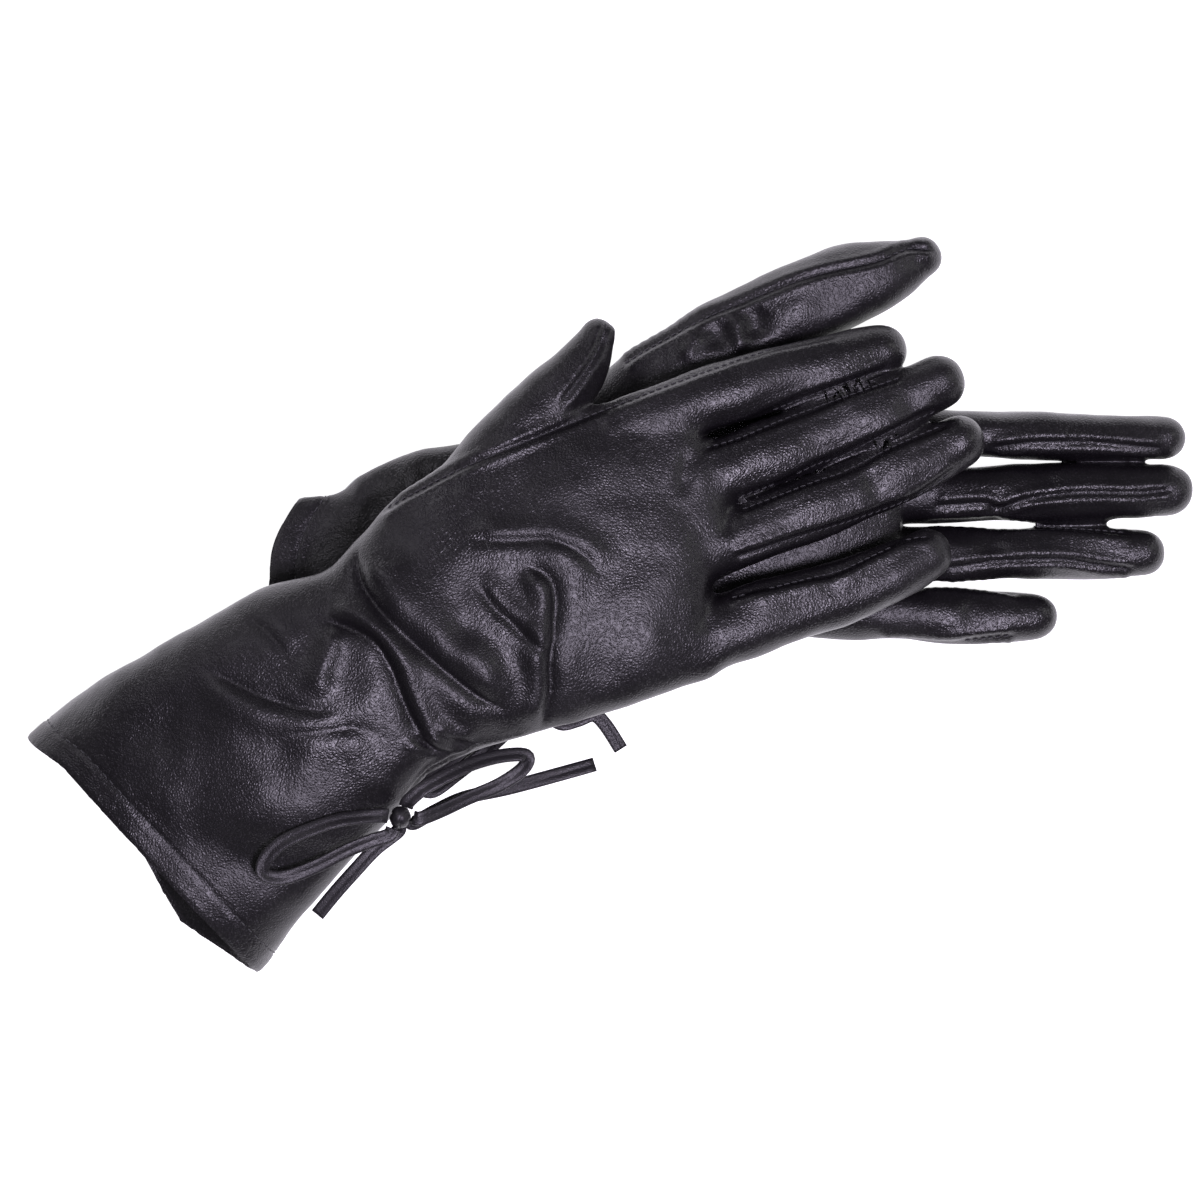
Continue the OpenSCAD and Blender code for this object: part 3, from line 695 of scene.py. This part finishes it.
def glove(side, tubes, folds, creases, seams, materials):
    """A whole glove, as the pieces of its hand, of each finger and of its thumb."""
    hand = HANDS[side]
    rough, from_hem, hem_at, hem_normal = shaped_leather(side, tubes, folds, creases, seams)
    points = read_mesh(rough)
    normals = read_normals(rough)
    faces = faces_of(rough.data)
    centres = np.array([points[list(f)].mean(0) for f in faces])
    group = group_faces(centres, hand, PARTINGS[side], THUMB_STARTS[side])
    tree = BVHTree.FromPolygons(points.tolist(), faces)

    # The wall of the hem: its turned-in facing and its rim
    inner = points - normals * LEATHER
    facing_from = len(points)
    near_hem = np.where(from_hem[[f[0] for f in faces]] < FACING_DEPTH)[0]
    facing = [tuple(facing_from + i for i in reversed(faces[k])) for k in near_hem]
    seen = {}
    for f in faces:
        for a, b in zip(f, f[1:] + f[:1]):
            seen[(a, b)] = 1
    rim = [(b, a, facing_from + a, facing_from + b) for (a, b) in seen if (b, a) not in seen]
    both = np.concatenate([points, inner])
    both_normals = np.concatenate([normals, -normals])

    pieces = {}
    for number, part in enumerate(GROUP_NAMES):
        chosen = np.where(group == number)[0]
        extra = facing + rim if number == 0 else ()
        name = "_".join((side, part, "leather"))
        piece = take(name, both, both_normals, faces, chosen, extra)
        piece.data.materials.append(materials["leather"])
        pieces[part] = [piece]

    # Stitches go on the piece that they are sewn through
    rows = {part: [] for part in GROUP_NAMES}
    for line in seams.values():
        for place in line_on_top(tree, line, STITCH_PITCH * 0.85):
            rows[GROUP_NAMES[group[place[3]]]].append(place)
    for part, places in rows.items():
        if places:
            piece = stitch_row("_".join((side, part, "stitches")), places, materials["thread"])
            pieces[part].append(piece)
    hem_places = line_round_hem(points, normals, faces, from_hem, HEM_STITCH_IN, STITCH_PITCH * 1.2)
    pieces["hand"].append(stitch_row(side + "_hem_stitches", hem_places, materials["hem_thread"]))

    # The lining follows the leather from the inside
    bpy.data.objects.remove(rough)
    past_facing = (centres[:, :2] - hem_at) @ hem_normal > FACING_DEPTH - 3
    for number, part in enumerate(GROUP_NAMES):
        chosen = np.where((group == number) & past_facing)[0]
        pieces[part].append(lining(side + "_" + part + "_knit_lining", points, normals, faces, chosen,
                                   materials["lining"]))
    band = np.where((group == 0) & (np.abs(to_hand(centres, hand)[:, 0] + 4) < 4))[0]
    elastic = lining(side + "_wrist_elastic_band", points, normals, faces, band, materials["elastic"],
                     ELASTIC_DEPTH, ELASTIC)
    pieces["hand"].append(elastic)
    return pieces


def hem_shape(side, local, below):
    """How far the hem reaches beyond a straight cut."""
    across = local[:, 1]
    if side == "right":
        palm_corner = np.interp(across, (-62, -36, -24, -8), (0, 6.8, 4.5, 0)) * ease(below / 10)
        return palm_corner + 2.6 * ease((across - 16) / 14) + 0.8 * ease(below / 14)
    return -10.5 * np.clip((across + 7) / 17, 0, 1.05) ** 2


def hem_middle_height(points, from_hem):
    low, high = points[from_hem < 6, 2].min(), points[from_hem < 6, 2].max()
    return (low + high) / 2


def lining(name, points, normals, faces, chosen, material, depth=LINING_DEPTH, thickness=LINING):
    """A thin layer a little under the leather, from a coarser copy of it."""
    inside = points - normals * depth
    piece = take(name, inside, normals, faces, chosen)
    apply_modifier(piece, "DECIMATE", ratio=0.16)
    apply_modifier(piece, "SOLIDIFY", thickness=thickness * MM, offset=-1)
    piece.data.polygons.foreach_set("use_smooth", [True] * len(piece.data.polygons))
    piece.data.materials.append(material)
    return piece


# ---- The bows: flat thongs of folded leather ----

THONG_WIDTH = 0.0042
THONG_THICK = 0.0009
KNOT_RADIUS = 0.0035
KNOT_TURN = 0.0023
KNOT_BAND = 0.00105
KNOT_CORE = 0.0021
STRAIGHT_OUT = 0.0026
THONG_START = 0.0004   # how far outside the knot a thong begins
STRAND_WAYS = ((-0.75, 0.5, 0.43), (-0.85, -0.5, 0.15), (0.75, 0.5, 0.43), (0.85, -0.5, 0.15),
               (-0.45, -0.55, -0.7), (0.45, -0.55, -0.7), (-0.5, 0, 0.866))
# The same routes as the part's own, in metres, in each hand's frame
BOWS = {
    "right": {
        "knot": (-0.0174, -0.0398, 0.050),
        "cuff_loop": (0, 1, ((-0.0265, -0.0348, 0.0542), (-0.033, -0.0324, 0.0562), (-0.041, -0.031, 0.0572),
                             (-0.050, -0.0305, 0.057), (-0.0565, -0.0325, 0.0562), (-0.059, -0.036, 0.055),
                             (-0.055, -0.0395, 0.0536), (-0.046, -0.041, 0.053), (-0.035, -0.0412, 0.0524),
                             (-0.0275, -0.042, 0.0516))),
        "hand_loop": (2, 3, ((-0.0075, -0.0356, 0.053), (0.001, -0.0354, 0.0514), (0.009, -0.036, 0.0486),
                             (0.017, -0.038, 0.046), (0.0225, -0.041, 0.0446), (0.020, -0.0438, 0.0434),
                             (0.012, -0.0448, 0.0436), (0.002, -0.044, 0.0456), (-0.006, -0.0436, 0.0484))),
        "cuff_tail": (4, None, ((-0.028, -0.0446, 0.046), (-0.036, -0.0474, 0.0456), (-0.044, -0.0504, 0.0444),
                                (-0.0515, -0.0536, 0.043))),
        "hand_tail": (5, None, ((-0.008, -0.043, 0.042), (0.001, -0.0435, 0.039), (0.013, -0.0468, 0.035),
                                (0.027, -0.050, 0.031), (0.0385, -0.0525, 0.0285)))},
    "left": {
        "knot": (-0.007, -0.0478, 0.009),
        "cuff_loop": (6, 1, ((-0.016, -0.0515, 0.014), (-0.023, -0.0574, 0.013), (-0.030, -0.0632, 0.0115),
                             (-0.037, -0.069, 0.0098), (-0.0405, -0.0726, 0.0084), (-0.037, -0.074, 0.0074),
                             (-0.030, -0.069, 0.007), (-0.022, -0.0626, 0.007), (-0.0155, -0.0565, 0.008))),
        "hand_loop": (2, 3, ((0.001, -0.0415, 0.0105), (0.009, -0.038, 0.010), (0.018, -0.0364, 0.0094),
                             (0.025, -0.0374, 0.009), (0.0275, -0.0404, 0.0086), (0.024, -0.043, 0.0082),
                             (0.014, -0.0446, 0.008), (0.004, -0.0466, 0.0084))),
        "cuff_tail": (4, None, ((-0.012, -0.0536, 0.0034), (-0.020, -0.0605, 0.0018), (-0.029, -0.0668, 0.0016),
                                (-0.037, -0.0718, 0.0016))),
        "hand_tail": (5, None, ((0.000, -0.0545, 0.002), (0.005, -0.0535, 0.0016), (0.0095, -0.052, 0.0016),
                                (0.013, -0.055, 0.0016), (0.0175, -0.062, 0.0016)))}}


def strand_path(side, strand, steps=6):
    """The route of one strand of a bow, in metres in the frame of the pair."""
    bow = BOWS[side]
    out, back, points = bow[strand]
    knot = np.array(bow["knot"])
    route = [knot + (KNOT_RADIUS + THONG_START) * unit(STRAND_WAYS[out]),
             knot + (KNOT_RADIUS + STRAIGHT_OUT) * unit(STRAND_WAYS[out])]
    route += [np.array(p) for p in points]
    if back is not None:
        route += [knot + (KNOT_RADIUS + STRAIGHT_OUT) * unit(STRAND_WAYS[back]),
                  knot + (KNOT_RADIUS + THONG_START) * unit(STRAND_WAYS[back])]
    smooth = []
    for i in range(len(route) - 1):
        a, b, c, d = route[max(i - 1, 0)], route[i], route[i + 1], route[min(i + 2, len(route) - 1)]
        for f in np.arange(steps) / steps:
            smooth.append(0.5 * (2 * b + (c - a) * f + (2 * a - 5 * b + 4 * c - d) * f ** 2
                                 + (3 * b - a - 3 * c + d) * f ** 3))
    smooth.append(route[-1])
    return to_world(np.array(smooth) * 1000, HANDS[side]) / 1000


# A thong's section, across and up, as shares of its half width and half thickness:
# folded leather, with a groove where it is stitched
THONG_SECTION = ((1.0, 0.0), (0.97, 0.6), (0.86, 0.95), (0.6, 1.05), (0.3, 1.0), (0.1, 0.72), (-0.1, 0.72),
                 (-0.3, 1.0), (-0.6, 1.05), (-0.86, 0.95), (-0.97, 0.6), (-1.0, 0.0), (-0.97, -0.6),
                 (-0.86, -0.95), (-0.5, -1.0), (0.0, -1.0), (0.5, -1.0), (0.86, -0.95), (0.97, -0.6))


def thong(side, strand, facing, material):
    """One strand of a bow: a flat strip whose face turns from the first facing to the last."""
    path = strand_path(side, strand)
    count = len(path)
    ahead = np.gradient(path, axis=0)
    verts = []
    up_keys = np.array(facing, float)
    for i, p in enumerate(path):
        t = unit(ahead[i])
        share = i / (count - 1) * (len(up_keys) - 1)
        k = min(int(share), len(up_keys) - 2)
        up = up_keys[k] + (up_keys[k + 1] - up_keys[k]) * ease(share - k)
        up = unit(up - (up @ t) * t)
        across = np.cross(up, t)
        for a, u in THONG_SECTION:
            verts.append(p + across * a * THONG_WIDTH / 2 + up * u * THONG_THICK / 2)
    n = len(THONG_SECTION)
    faces = [(k * n + i, k * n + (i + 1) % n, (k + 1) * n + (i + 1) % n, (k + 1) * n + i)
             for k in range(count - 1) for i in range(n)]
    faces += [tuple(reversed(range(n))), tuple(range((count - 1) * n, count * n))]
    piece = new_mesh("_".join((side, strand, "thong")), verts, faces, 1.0)
    bm = bmesh.new()
    bm.from_mesh(piece.data)
    bmesh.ops.recalc_face_normals(bm, faces=bm.faces)
    bm.to_mesh(piece.data)
    bm.free()
    piece.data.polygons.foreach_set("use_smooth", [True] * len(piece.data.polygons))
    write_attribute(piece, "across", np.tile([a for a, u in THONG_SECTION], count))
    run = np.concatenate([[0], np.cumsum(np.linalg.norm(np.diff(path, axis=0), axis=1))])
    write_attribute(piece, "along", np.repeat(run, n))
    piece.data.materials.append(material)
    node = side + "_" + strand
    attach(piece, side + "_glove")
    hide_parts(node)


def write_attribute(piece, name, values):
    attribute = piece.data.attributes.new(name, "FLOAT", "POINT")
    attribute.data.foreach_set("value", np.asarray(values, np.float32))


def knot(side, material):
    """The knot: the thong wound round itself, two bands across and one over them."""
    hand = HANDS[side]
    place = to_world(np.array([BOWS[side]["knot"]]) * 1000, hand)[0] / 1000
    parts = []
    for swing, roll, size in ((0.0, 0.35, 1.0), (0.9, -0.25, 0.94), (-0.8, 0.1, 0.9)):
        bpy.ops.object.select_all(action="DESELECT")
        bpy.ops.mesh.primitive_torus_add(major_segments=40, minor_segments=16, minor_radius=KNOT_BAND,
                                         major_radius=KNOT_TURN * size, location=tuple(place))
        band = bpy.context.object
        bpy.ops.object.mode_set(mode="EDIT")
        bpy.ops.mesh.select_all(action="SELECT")
        bpy.ops.transform.resize(value=(1, 1, 1.5), center_override=tuple(place))
        bpy.ops.transform.rotate(value=math.radians(90) + roll, orient_axis="Y",
                                 center_override=tuple(place))
        bpy.ops.transform.rotate(value=-swing + math.radians(hand["turn"]), orient_axis="Z",
                                 center_override=tuple(place))
        bpy.ops.object.mode_set(mode="OBJECT")
        parts.append(band)
    bpy.ops.object.select_all(action="DESELECT")
    bpy.ops.mesh.primitive_uv_sphere_add(segments=24, ring_count=16, radius=KNOT_CORE,
                                         location=tuple(place))
    parts.append(bpy.context.object)
    for part in parts:
        part.select_set(True)
    bpy.context.view_layer.objects.active = parts[0]
    bpy.ops.object.join()
    piece = bpy.context.object
    bpy.ops.object.transform_apply(location=True, rotation=True, scale=True)
    bpy.ops.object.shade_smooth()
    piece.name = side + "_bow_knot_leather"
    piece.data.materials.clear()
    piece.data.materials.append(material)
    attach(piece, side + "_glove")
    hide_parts(side + "_bow_knot")


# ---- Leather, thread and cloth ----

GRAIN_WANDER = 0.00025   # how far the pebbles' outlines stray


def nodes_of(name):
    material = bpy.data.materials.new(name)
    material.use_nodes = True
    tree = material.node_tree
    return material, tree, tree.nodes["Principled BSDF"]


def node(tree, kind, settings=(), **inputs):
    """Adds a node. Each input takes a number, a colour, or what comes out of another node."""
    made = tree.nodes.new("ShaderNode" + kind)
    for key, value in dict(settings).items():
        setattr(made, key, value)
    for key, value in inputs.items():
        socket = made.inputs[int(key[1:])] if key.startswith("_") else made.inputs[key.replace("_", " ")]
        if isinstance(value, bpy.types.NodeSocket):
            tree.links.new(value, socket)
        else:
            socket.default_value = value
    return made


def object_place(tree):
    return node(tree, "TexCoord").outputs["Object"]


def between_colours(tree, share, first, second):
    mix = node(tree, "Mix", {"data_type": "RGBA"}, Factor=share, A=first + (1,), B=second + (1,))
    return mix.outputs["Result"]


def leather_material(name, colour, gloss, grain, pebble):
    """Dressed lambskin: fine pebbles parted by creases, a soft sheen, uneven polish, and a base colour with
    painted shade in the creases and painted light on the pebbles' tops.
    """
    material, tree, shader = nodes_of(name)
    place = object_place(tree)
    bend = node(tree, "TexNoise", Vector=place, Scale=420, Detail=3)
    wander = node(tree, "VectorMath", {"operation": "MULTIPLY_ADD"}, _0=bend.outputs["Color"],
                  _1=(GRAIN_WANDER, GRAIN_WANDER, GRAIN_WANDER), _2=place)

    def cell_tops(size, valley):
        cells = node(tree, "TexVoronoi", {"feature": "DISTANCE_TO_EDGE"}, Scale=1 / size,
                     Vector=wander.outputs["Vector"])
        return node(tree, "MapRange", {"interpolation_type": "SMOOTHSTEP"}, From_Max=valley,
                    Value=cells.outputs["Distance"]).outputs["Result"]

    pebbles = cell_tops(pebble, 0.45)
    broad = node(tree, "TexNoise", Vector=place, Scale=38, Detail=4).outputs["Fac"]
    fine = node(tree, "Bump", Strength=0.8, Distance=grain, Height=pebbles)
    deep = node(tree, "Bump", Strength=0.22, Distance=grain * 1.6, Height=cell_tops(pebble * 3.4, 0.12),
                Normal=fine.outputs["Normal"])
    soft = node(tree, "Bump", Strength=0.35, Distance=0.0012, Height=broad, Normal=deep.outputs["Normal"])
    tree.links.new(soft.outputs["Normal"], shader.inputs["Normal"])
    # Painted shade and light: the base colour is darker in the pebbles' creases and lighter on their tops
    pebble_painted_shade_and_light = between_colours(tree, pebbles, tuple(c * 0.6 for c in colour), tuple(c * 1.25 for c in colour))
    tree.links.new(pebble_painted_shade_and_light, shader.inputs["Base Color"])
    polish = node(tree, "MapRange", From_Min=0.3, From_Max=0.7, To_Min=gloss - 0.05, To_Max=gloss + 0.08,
                  Value=broad)
    tree.links.new(polish.outputs["Result"], shader.inputs["Roughness"])
    shader.inputs["Specular IOR Level"].default_value = 0.5
    return material


def thread_material(name, dark, light):
    """Sewing thread: a slanting twist of lighter and darker plies."""
    material, tree, shader = nodes_of(name)
    twist = node(tree, "TexWave", {"bands_direction": "DIAGONAL"}, Scale=900, Vector=object_place(tree))
    ply = twist.outputs["Fac"]
    tree.links.new(between_colours(tree, ply, dark, light), shader.inputs["Base Color"])
    bump = node(tree, "Bump", Distance=0.0001, Height=ply)
    tree.links.new(bump.outputs["Normal"], shader.inputs["Normal"])
    shader.inputs["Roughness"].default_value = 0.55
    return material


def cloth_material(name, dark, light, rib, roughness):
    """A fine knit: rows of loops on a dark ground."""
    material, tree, shader = nodes_of(name)
    place = object_place(tree)
    rows = node(tree, "TexWave", {"bands_direction": "X"}, Scale=rib, Distortion=1.5, Detail_Scale=300,
                Vector=place)
    loops = node(tree, "TexWave", {"bands_direction": "Y"}, Scale=rib * 0.8, Vector=place)
    both = node(tree, "Math", {"operation": "MULTIPLY"}, _0=rows.outputs["Fac"],
                _1=loops.outputs["Fac"]).outputs["Value"]
    tree.links.new(between_colours(tree, both, dark, light), shader.inputs["Base Color"])
    bump = node(tree, "Bump", Strength=0.6, Distance=0.0003, Height=both)
    tree.links.new(bump.outputs["Normal"], shader.inputs["Normal"])
    shader.inputs["Roughness"].default_value = roughness
    shader.inputs["Sheen Weight"].default_value = 0.3
    return material


# ---- Camera, lights and floor ----

CAMERA_DISTANCE = 2.4
FRAME_WIDTH = 0.34286
SHOW_CENTRE = (-0.0025, 0.0015)
SHOW_HEIGHT = 0.045


def camera():
    """Straight above the gloves."""
    data = bpy.data.cameras.new("camera")
    data.sensor_width = 36
    data.lens = 36 * CAMERA_DISTANCE / FRAME_WIDTH
    data.clip_end = 20
    piece = bpy.data.objects.new("camera", data)
    bpy.context.scene.collection.objects.link(piece)
    piece.location = (SHOW_CENTRE[0], SHOW_CENTRE[1], CAMERA_DISTANCE + SHOW_HEIGHT)
    bpy.context.scene.camera = piece


def soft_light(name, place, size, watts, tint=(1, 1, 1)):
    data = bpy.data.lights.new(name, "AREA")
    data.shape = "RECTANGLE"
    data.size, data.size_y = size
    data.energy = watts
    data.color = tint
    piece = bpy.data.objects.new(name, data)
    bpy.context.scene.collection.objects.link(piece)
    piece.location = place
    aim = Vector((0, 0, 0.03)) - Vector(place)
    piece.rotation_euler = aim.to_track_quat("-Z", "Y").to_euler()


def studio():
    """Three softboxes over a pale floor."""
    scene = bpy.context.scene
    scene.view_settings.view_transform = "Standard"
    world = bpy.data.worlds.new("studio")
    scene.world = world
    world.use_nodes = True
    world.node_tree.nodes["Background"].inputs["Color"].default_value = (1, 1, 1, 1)
    world.node_tree.nodes["Background"].inputs["Strength"].default_value = 0.1
    soft_light("key_softbox", (0.38, -0.32, 2.0), (0.46, 0.36), 30, (1.0, 0.9, 1.13))
    soft_light("back_softbox", (-0.9, 1.1, 1.3), (0.8, 0.5), 4, (1.0, 0.95, 1.06))
    soft_light("fill_softbox", (1.4, 0.5, 0.9), (0.6, 0.6), 3)
    bpy.ops.object.select_all(action="DESELECT")
    bpy.ops.mesh.primitive_plane_add(size=6, location=(0, 0, 0))
    floor = bpy.context.object
    floor.name = "pale_floor"
    material, tree, shader = nodes_of("pale_floor")
    shader.inputs["Base Color"].default_value = (0.95, 0.945, 0.95, 1)
    shader.inputs["Roughness"].default_value = 0.9
    shader.inputs["Emission Color"].default_value = (1, 1, 1, 1)
    shader.inputs["Emission Strength"].default_value = 0.95
    floor.data.materials.append(material)


# ---- Making ----

camera()
studio()

glove_leather = leather_material("black_glove_leather", (0.0085, 0.0071, 0.0096), 0.365, 0.00008, 0.00085)
thong_leather = leather_material("black_thong_leather", (0.012, 0.0102, 0.0135), 0.42, 0.00005, 0.0006)
seam_thread = thread_material("dark_seam_thread", (0.02, 0.019, 0.022), (0.075, 0.073, 0.08))
hem_thread = thread_material("grey_hem_thread", (0.02, 0.02, 0.022), (0.09, 0.09, 0.095))
knit = cloth_material("dark_knit", (0.012, 0.011, 0.013), (0.06, 0.056, 0.062), 500, 0.9)
elastic_weave = cloth_material("white_elastic_weave", (0.42, 0.4, 0.37), (0.8, 0.78, 0.73), 420, 0.8)

UP = (0, 0, 1)
THONG_FACINGS = {
    ("right", "cuff_loop"): (UP, (0.1, 0.35, 0.9), (0.2, 0.3, 0.9), (0.1, -0.3, 0.95), UP),
    ("right", "hand_loop"): (UP, (0, 0.3, 0.95), (0, 0.3, 0.95), (0, -0.35, 0.9), UP),
    ("right", "cuff_tail"): (UP, UP, UP),
    ("right", "hand_tail"): (UP, (0, -0.3, 0.95), (0, 0.2, 0.97))}
THONG_FACINGS.update({("left", strand): (UP, UP, UP) for strand in BOWS["left"] if strand != "knot"})
for (side, strand), facing in THONG_FACINGS.items():
    thong(side, strand, facing, thong_leather)
for side in HANDS:
    knot(side, thong_leather)

finishes = {"leather": glove_leather, "thread": seam_thread, "hem_thread": hem_thread, "lining": knit,
            "elastic": elastic_weave}
right_tubes = [oval_tube(RIGHT_HAND), oval_tube(RIGHT_WEB), oval_tube(thumb_form(RIGHT_THUMB), 40)]
right_tubes += [oval_tube(finger_rows(finger), 40, 2.2) for finger in RIGHT_FINGERS]
left_tubes = [oval_tube(LEFT_HAND), oval_tube(thumb_form(LEFT_THUMB), 40)]
left_tubes += [oval_tube(finger_rows(finger), 40, 2.2) for finger in LEFT_FINGERS]
PARTINGS = {"right": RIGHT_PARTINGS, "left": LEFT_PARTINGS}
gloves = {
    "right": glove("right", right_tubes, RIGHT_FOLDS, RIGHT_CREASES, RIGHT_SEAMS, finishes),
    "left": glove("left", left_tubes, LEFT_FOLDS, (), LEFT_SEAMS, finishes)}


def way_along(hand, start, heading, reach):
    """Two points, from a start along a heading for some reach, in metres in the frame of the pair."""
    a = math.radians(heading)
    first = np.array([start[0], start[1], 0.0])
    last = first + (reach * math.cos(a), reach * math.sin(a), 0)
    return [tuple(float(c) for c in to_world(p, hand) * MM) for p in (first, last)]


REPLACED = {
    "right": {"hand": (("right_back_panel", "right_palm_panel"), "right_hand_lining"),
              "thumb": (("right_thumb",), "right_thumb_lining")},
    "left": {"hand": (("left_back_panel", "left_palm_panel", "left_index_stall", "left_middle_stall",
                       "left_ring_stall", "left_little_stall", "left_stall_fourchettes"),
                      "left_hand_lining"),
             "thumb": (("left_thumb",), "left_thumb_lining")}}
for name in FINGERS:
    REPLACED["right"][name] = (("right_%s_stall" % name, "right_%s_fourchettes" % name),
                               "right_%s_lining" % name)
    REPLACED["left"][name] = (("left_%s_fingertip" % name, "left_%s_tip_fourchettes" % name),
                              "left_%s_tip_lining" % name)
for side, pieces in gloves.items():
    base = side + "_glove"
    hand = HANDS[side]
    partings = PARTINGS[side]
    for part, made in pieces.items():
        leather, knit_lining = REPLACED[side][part]
        for piece in made:
            if part == "hand":
                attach(piece, base)
                continue
            if part == "thumb":
                start, heading = THUMB_STARTS[side]
                ends = way_along(hand, start, heading, 16)
            else:
                k = FINGERS.index(part)
                y = np.mean([np.interp(partings["starts"][k], *row) for row in partings["rows"][k]
                             if abs(row[1][0]) < FREE] or [0])
                heading = -9 if side == "right" else 0
                reach = 22 if side == "right" else 16
                ends = way_along(hand, (partings["starts"][k] + 0.5, y), heading, reach)
            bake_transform(piece)
        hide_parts(*leather)
        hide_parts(knit_lining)
        if (side, part) == ("left", "hand"):
            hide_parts("left_stall_linings")
        for piece in made:
            if "wrist_elastic" in piece.name:
                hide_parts(side + "_wrist_elastic")
